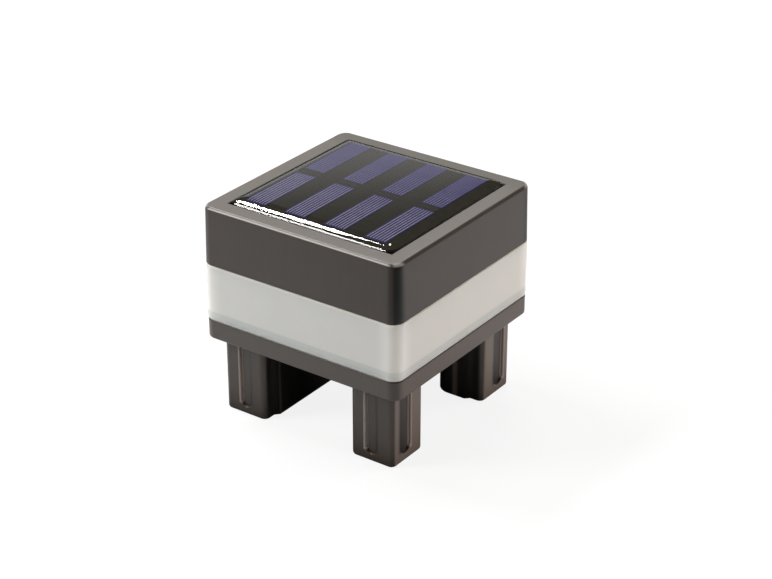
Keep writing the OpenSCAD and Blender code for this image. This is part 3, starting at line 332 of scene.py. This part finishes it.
FINISHES = {
    "dark_plastic": dark_plastic(),
    "cap_plastic": dark_plastic("cap_plastic", cap_painted_light),
    "base_plastic": dark_plastic("base_plastic", base_painted_light),
    "frosted_plastic": frosted_plastic(),
    "clear_resin": clear_resin(),
    "panel_board": panel_board(),
    "silicon": silicon(),
    "silver_fingers": silver_fingers(),
    "tinned_ribbon": plain("tinned_ribbon", (34, 32, 28), (44, 42, 37), 0.6, specular=0.0),
    "foam_tape": plain("foam_tape", (22, 22, 22), (38, 38, 38), 0.8, 0.3 * MM, 0.05 * MM),
    "black_rubber": plain("black_rubber", (24, 24, 24), (36, 36, 35), 0.65),
    "white_plastic": plain("white_plastic", (232, 232, 229), (240, 240, 238), 0.35, 3 * MM),
    "screw_steel": metal("screw_steel", (168, 168, 170), (196, 196, 198), 0.28),
    "green_board": plain("green_board", (22, 84, 44), (34, 104, 56), 0.35, 1.2 * MM),
    "lamp_resin": plain("lamp_resin", (236, 232, 206), (246, 243, 222), 0.12, 2 * MM),
    "tinned_metal": metal("tinned_metal", (176, 176, 174), (204, 204, 202), 0.3),
    "chip_plastic": plain("chip_plastic", (22, 22, 23), (32, 32, 33), 0.5, 0.2 * MM),
    "ferrite": plain("ferrite", (50, 50, 53), (66, 66, 70), 0.55, 0.3 * MM),
    "copper_wire": metal("copper_wire", (168, 88, 48), (200, 112, 66), 0.3),
    "capacitor_sleeve": plain("capacitor_sleeve", (32, 38, 72), (44, 52, 92), 0.25, 1.5 * MM),
    "resistor_body": plain("resistor_body", (24, 24, 25), (36, 36, 38), 0.35),
    "switch_metal": metal("switch_metal", (158, 160, 162), (184, 186, 188), 0.35),
    "knob_plastic": plain("knob_plastic", (210, 210, 204), (222, 222, 216), 0.4, 1 * MM),
    "battery_steel": metal("battery_steel", (172, 172, 172), (198, 198, 198), 0.25),
    "battery_core": plain("battery_core", (82, 82, 84), (98, 98, 100), 0.6),
    "battery_sleeve": plain("battery_sleeve", (48, 104, 74), (58, 120, 86), 0.22, 4 * MM),
    "nickel_plate": metal("nickel_plate", (186, 182, 170), (208, 204, 192), 0.22),
    "red_insulation": plain("red_insulation", (160, 28, 22), (184, 38, 30), 0.4, 1 * MM),
    "black_insulation": plain("black_insulation", (24, 24, 24), (38, 38, 38), 0.4, 1 * MM),
    "white_insulation": plain("white_insulation", (214, 214, 208), (228, 228, 222), 0.4, 1 * MM),
}
for part in frame["record"]["subparts"]:
    shown = frame["nodes"][part["node"]]
    shown.data.materials.clear()
    shown.data.materials.append(FINISHES[part["material_slot"]].material)


# Forms

def cad_form(node):
    """The shape of a CAD node, as a new form whose flat faces are whole again."""
    form = bmesh.new()
    form.from_mesh(frame["nodes"][node].data)
    bmesh.ops.remove_doubles(form, verts=form.verts, dist=SAME_PLACE)
    bmesh.ops.dissolve_limit(form, angle_limit=radians(0.05), verts=form.verts, edges=form.edges)
    return form


def soften(form, width, chosen, steps=3):
    """Rounds the sharp edges for which chosen(middle, run) is true. Both are vectors in millimetres."""
    def is_chosen(edge):
        start, end = (v.co / MM for v in edge.verts)
        return edge.is_manifold and edge.calc_face_angle() > radians(35) and chosen((start + end) / 2, end - start)

    bmesh.ops.bevel(form, geom=[e for e in form.edges if is_chosen(e)], offset=width, offset_type="OFFSET",
                    segments=steps, profile=0.5, affect="EDGES", material=-1, clamp_overlap=True)


def piece(form, name, slot, body, *nodes, sharp=40, even=True, finish=None):
    """Makes a form an object with its finish, which moves with a body and stands for CAD nodes."""
    mesh = bpy.data.meshes.new(name)
    form.to_mesh(mesh)
    form.free()
    mesh.shade_smooth()
    mesh.set_sharp_from_angle(angle=radians(sharp))
    made = bpy.data.objects.new(name, mesh)
    bpy.context.scene.collection.objects.link(made)
    mesh.materials.append(FINISHES[finish or slot].material)
    if even:
        made.modifiers.new("even_normals", "WEIGHTED_NORMAL").keep_sharp = True
    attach(made, body)
    if nodes:
        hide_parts(*nodes)


def swept(profile, half, radius, runs=1, steps=8):
    """Carries a profile of (out, up) points round a rounded square. out starts at the corners' centres."""
    form = bmesh.new()
    core = half - radius
    points = [form.verts.new((core + out, -core, up)) for out, up in profile]
    strip = [form.edges.new(pair) for pair in zip(points, points[1:])]
    for side in range(4):
        turn = Matrix.Rotation(side * pi / 2, 3, "Z")
        for _ in range(runs):
            grown = bmesh.ops.extrude_edge_only(form, edges=strip)["geom"]
            moved = {g for g in grown if isinstance(g, bmesh.types.BMVert)}
            bmesh.ops.translate(form, verts=list(moved), vec=turn @ Vector((0, 2 * core / runs, 0)))
            strip = [g for g in grown if isinstance(g, bmesh.types.BMEdge) and set(g.verts) <= moved]
        ends = {v for e in strip for v in e.verts}
        last = bmesh.ops.spin(form, geom=strip + list(ends), cent=turn @ Vector((core, core, 0)), axis=(0, 0, 1),
                              angle=pi / 2, steps=steps, use_merge=False)["geom_last"]
        strip = [g for g in last if isinstance(g, bmesh.types.BMEdge)]
    bmesh.ops.remove_doubles(form, verts=form.verts, dist=SAME_PLACE)
    return form


def resin_dome():
    """A dome over the board and the cells: steep at its rounded edge, and nearly flat in the middle."""
    low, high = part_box("panel_resin")
    half, radius, edge_w, crown = high.x + 0.37 * MM, 2.7 * MM, 3.2 * MM, 0.12 * MM
    bottom, foot, base = low.z - 0.4 * MM, low.z - 0.3 * MM, low.z - 0.9 * MM
    rise = high.z - crown - base
    runs, arcs, overrun, squareness = 80, 24, 0.2 * MM, 5

    # A thin foot with a flat top, whose rings lie closer together towards its edge
    turns = [acos(1 - radius / edge_w) * i / arcs for i in range(arcs + 1)]
    form = swept([(0, bottom), (radius - 0.1 * MM, bottom), (radius, bottom + 0.05 * MM)]
                 + [(radius - edge_w * (1 - cos(a)), foot) for a in turns], half, radius, runs=runs, steps=16)
    for z in (bottom, foot):
        grid = bmesh.ops.create_grid(form, x_segments=runs, y_segments=runs, size=half - radius)
        bmesh.ops.translate(form, verts=grid["verts"], vec=(0, 0, z))
    bmesh.ops.remove_doubles(form, verts=form.verts, dist=SAME_PLACE)

    # The flat top is raised to the dome. At the edge it stops a little short of upright
    for v in form.verts:
        if v.co.z > foot - MM / 1000:
            out = [max(0, abs(c) - half + edge_w) / (edge_w + overrun) for c in v.co.xy]
            share = max(0, 1 - sum(o ** squareness for o in out) ** (2 / squareness)) ** 0.5
            v.co.z = base + share * (rise + crown * (1 - (v.co.x / half) ** 2) * (1 - (v.co.y / half) ** 2))
    bmesh.ops.recalc_face_normals(form, faces=form.faces)
    return form


def cell_fingers():
    """The thin silver fingers on each cell."""
    form = bmesh.new()
    low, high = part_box("solar_cells")
    columns, row_gap, cell_w = 4, 3.1 * MM, 6.2 * MM
    fingers, finger_w, finger_h, end_gap = 7, 0.13 * MM, 0.03 * MM, 0.3 * MM
    pitch = (high.x - low.x - cell_w) / (columns - 1)
    cell_l = (high.y - low.y - row_gap) / 2
    size = Matrix.Diagonal((finger_w, cell_l - 2 * end_gap, finger_h, 1))
    for column in range(columns):
        for row in (-1, 1):
            for finger in range(fingers):
                x = (column - (columns - 1) / 2) * pitch + (finger - (fingers - 1) / 2) * cell_w / (fingers + 0.35)
                place = Matrix.Translation((x, row * (row_gap + cell_l) / 2, high.z))
                bmesh.ops.create_cube(form, size=1, matrix=place @ size)
    return form


def softened_cap():
    """The cap, with its rim rounded a little inside and more outside."""
    form = cad_form("cap_shell")
    recess, outside, top = 26, 29.5, CAP_TOP / MM - 0.01
    soften(form, 0.3 * MM, lambda at, run: at.z > top and max(abs(at.x), abs(at.y)) < recess)
    soften(form, 0.45 * MM, lambda at, run: at.z > top and max(abs(at.x), abs(at.y)) > outside, 4)
    return form


def softened_base():
    """The tray and legs, with the flutes' edges and the feet rounded."""
    form = cad_form("base_housing")
    out, near_corner, foot, tray = LEG_HALF / MM, 15, 1.5, TRAY_LOW / MM - 0.1
    soften(form, 0.3 * MM, lambda at, run: foot < at.z < tray and (
        abs(abs(at.y) - out) < 0.01 and abs(run.y) < 0.01 and abs(at.x) > near_corner
        or abs(at.x - out) < 0.01 and abs(run.x) < 0.01 and abs(at.y) > near_corner), 4)
    soften(form, 0.7 * MM, lambda at, run: at.z < 0.01, 5)
    return form


def softened(node, width, steps=2):
    """A CAD node with all its sharp edges slightly rounded."""
    form = cad_form(node)
    soften(form, width, lambda at, run: True, steps)
    return form


def wound_coil():
    """Turns of enamelled wire, side by side on the coil's core, with a second layer in their grooves."""
    low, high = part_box("inductor_coil")
    centre, wire = (low + high) / 2, 0.3 * MM
    turns = int((high.z - low.z) / wire)
    form = bmesh.new()
    for layer in range(2):
        radius = (high.x - low.x) / 2 - wire * (0.5 + 0.87 * layer)
        for turn in range(turns - layer):
            z = low.z + (high.z - low.z) * (turn + 0.5 + layer / 2) / turns
            start = Matrix.Translation((centre.x + radius, centre.y, z)) @ Matrix.Rotation(pi / 2, 4, "X")
            loop = bmesh.ops.create_circle(form, segments=10, radius=wire / 2, matrix=start)["verts"]
            bmesh.ops.spin(form, geom=loop + list({e for v in loop for e in v.link_edges}),
                           cent=(centre.x, centre.y, z), axis=(0, 0, 1), angle=2 * pi, steps=40, use_merge=True)
    bmesh.ops.recalc_face_normals(form, faces=form.faces)
    return form


piece(softened_cap(), "cap", "dark_plastic", "housing", "cap_shell", finish="cap_plastic")
piece(softened_base(), "base", "dark_plastic", "housing", "base_housing", finish="base_plastic")
piece(cad_form("light_band"), "band", "frosted_plastic", "housing", "light_band")
piece(resin_dome(), "resin_dome", "clear_resin", "housing", "panel_resin", sharp=60, even=False)
piece(cell_fingers(), "cell_fingers", "tinned_metal", "housing", finish="silver_fingers")
piece(softened("battery_cover", 0.3 * MM, 3), "battery_lid", "dark_plastic", "cover", "battery_cover")
piece(softened("switch_knob", 0.12 * MM), "slide_knob", "knob_plastic", "knob", "switch_knob")
piece(wound_coil(), "coil_winding", "copper_wire", "housing", "inductor_coil")


# The studio

def put(name, data, place, target):
    """Adds a camera or a lamp that looks from a place to a target."""
    made = bpy.data.objects.new(name, data)
    bpy.context.scene.collection.objects.link(made)
    made.location = place
    made.rotation_mode = "QUATERNION"
    made.rotation_quaternion = (Vector(target) - Vector(place)).to_track_quat("-Z", "Y")
    return made


camera_data = bpy.data.cameras.new("camera")
camera_data.sensor_width, camera_data.lens = 36, 93.607
camera_data.clip_start, camera_data.clip_end = 0.01, 20
camera_place, camera_target = (0.26993, -0.37043, 0.26449), (0.00489, 0.00083, 0.03215)
bpy.context.scene.camera = put("camera", camera_data, camera_place, camera_target)

# Each lamp has its direction from the object, its two sizes in metres, its power, its colour, its turn about
# its own axis in degrees, and whether it shows in glossy surfaces. top_light and left_light are the two bright
# lines along the dome's front edge
lamp_target, lamp_far = Vector((0, 0, 0.03)), 0.7
white, neutral, warm = (1.0, 1.0, 1.0), (1.0, 0.99, 0.97), (1.0, 0.91, 0.86)
for name, way, size, power, colour, turn, mirrored in (
        ("left_light", (-0.575, -0.585, 0.572), (0.22, 0.28), 3.7, neutral, 0, True),
        ("right_light", (0.60, 0.72, 0.35), (0.34, 0.34), 2.9, warm, 0, False),
        ("fill_light", (0.95, -0.25, 0.20), (0.30, 0.30), 1.5, warm, 0, False),
        ("back_light", (-0.22, 0.50, 0.84), (0.24, 0.20), 2.0, neutral, 0, True),
        ("top_light", (-0.562, -0.018, 0.827), (0.245, 0.094), 4.0, white, -8.1, True)):
    lamp_data = bpy.data.lights.new(name, "AREA")
    lamp_data.shape, lamp_data.energy, lamp_data.color = "RECTANGLE", power, colour
    lamp_data.size, lamp_data.size_y = size
    lamp = put(name, lamp_data, lamp_target + Vector(way).normalized() * lamp_far, lamp_target)
    lamp.rotation_quaternion @= Quaternion((0, 0, 1), radians(turn))
    lamp.visible_glossy = mirrored

floor_data = bpy.data.meshes.new("floor")
floor_form = bmesh.new()
bmesh.ops.create_grid(floor_form, x_segments=1, y_segments=1, size=4)
floor_form.to_mesh(floor_data)
floor = bpy.data.objects.new("floor", floor_data)
bpy.context.scene.collection.objects.link(floor)
sheet = Finish("floor", Roughness=0.9, Specular_IOR_Level=0.0)
camera_ray, glossy_ray = sheet.rays("Camera", "Glossy")
# Painted shadow on the floor: what falls on the object from it is nothing from under the object, and little from in
# front of it or behind it
spread = sheet.x.calc("MAXIMUM", abs(sheet.x), abs(sheet.y))
forward = sheet.x - sheet.y
lit = (sheet.between(spread, 24 * MM, 40 * MM) * sheet.between(forward, 95 * MM, 150 * MM, 1, 0.1)
       * sheet.between(forward, -160 * MM, -90 * MM, 0.1, 1))
bounce, shine = (sheet.mix(lit, (0.1, 0.1, 0.1, 1), (grey, grey, grey, 1)) for grey in (0.3, 0.8))
sheet.set(Base_Color=sheet.mix(camera_ray, sheet.mix(glossy_ray, bounce, shine), (0.8, 0.8, 0.8, 1)))
# It glows white for the camera, and more faintly in what the object mirrors
white_glow = sheet.node("Emission", inputs={"Color": (1, 1, 1, 1), "Strength": 1.0})
sheet.cover(camera_ray * 0.86 + glossy_ray * lit * 0.42, white_glow)
# From below, the camera looks through the floor
sheet.cover(sheet.node("NewGeometry", output="Backfacing") * camera_ray, sheet.node("BsdfTransparent"))
floor_data.materials.append(sheet.material)

# The room is a pale wall behind the object that fades upwards and downwards, with dim light all round
world = bpy.data.worlds.new("studio")
bpy.context.scene.world = world
world.use_nodes = True
room = Nodes(world.node_tree)
across, along, up = room.parts(room.node("TexCoord", output="Generated"))
wall = (room.between(up, 0.33, 0.45, 1, 0) * room.between(along * 0.81 - across * 0.58, 0.1, 0.7)
        * room.between(up, 0.12, 0.3))
background = world.node_tree.nodes["Background"]
background.inputs["Color"].default_value = (1, 1, 1, 1)
room.join(room.node("Mix", inputs={0: room.rays("Camera")[0], 2: 0.06 + wall, 3: 1.0}), background.inputs["Strength"])

bpy.context.scene.view_settings.view_transform = "Standard"
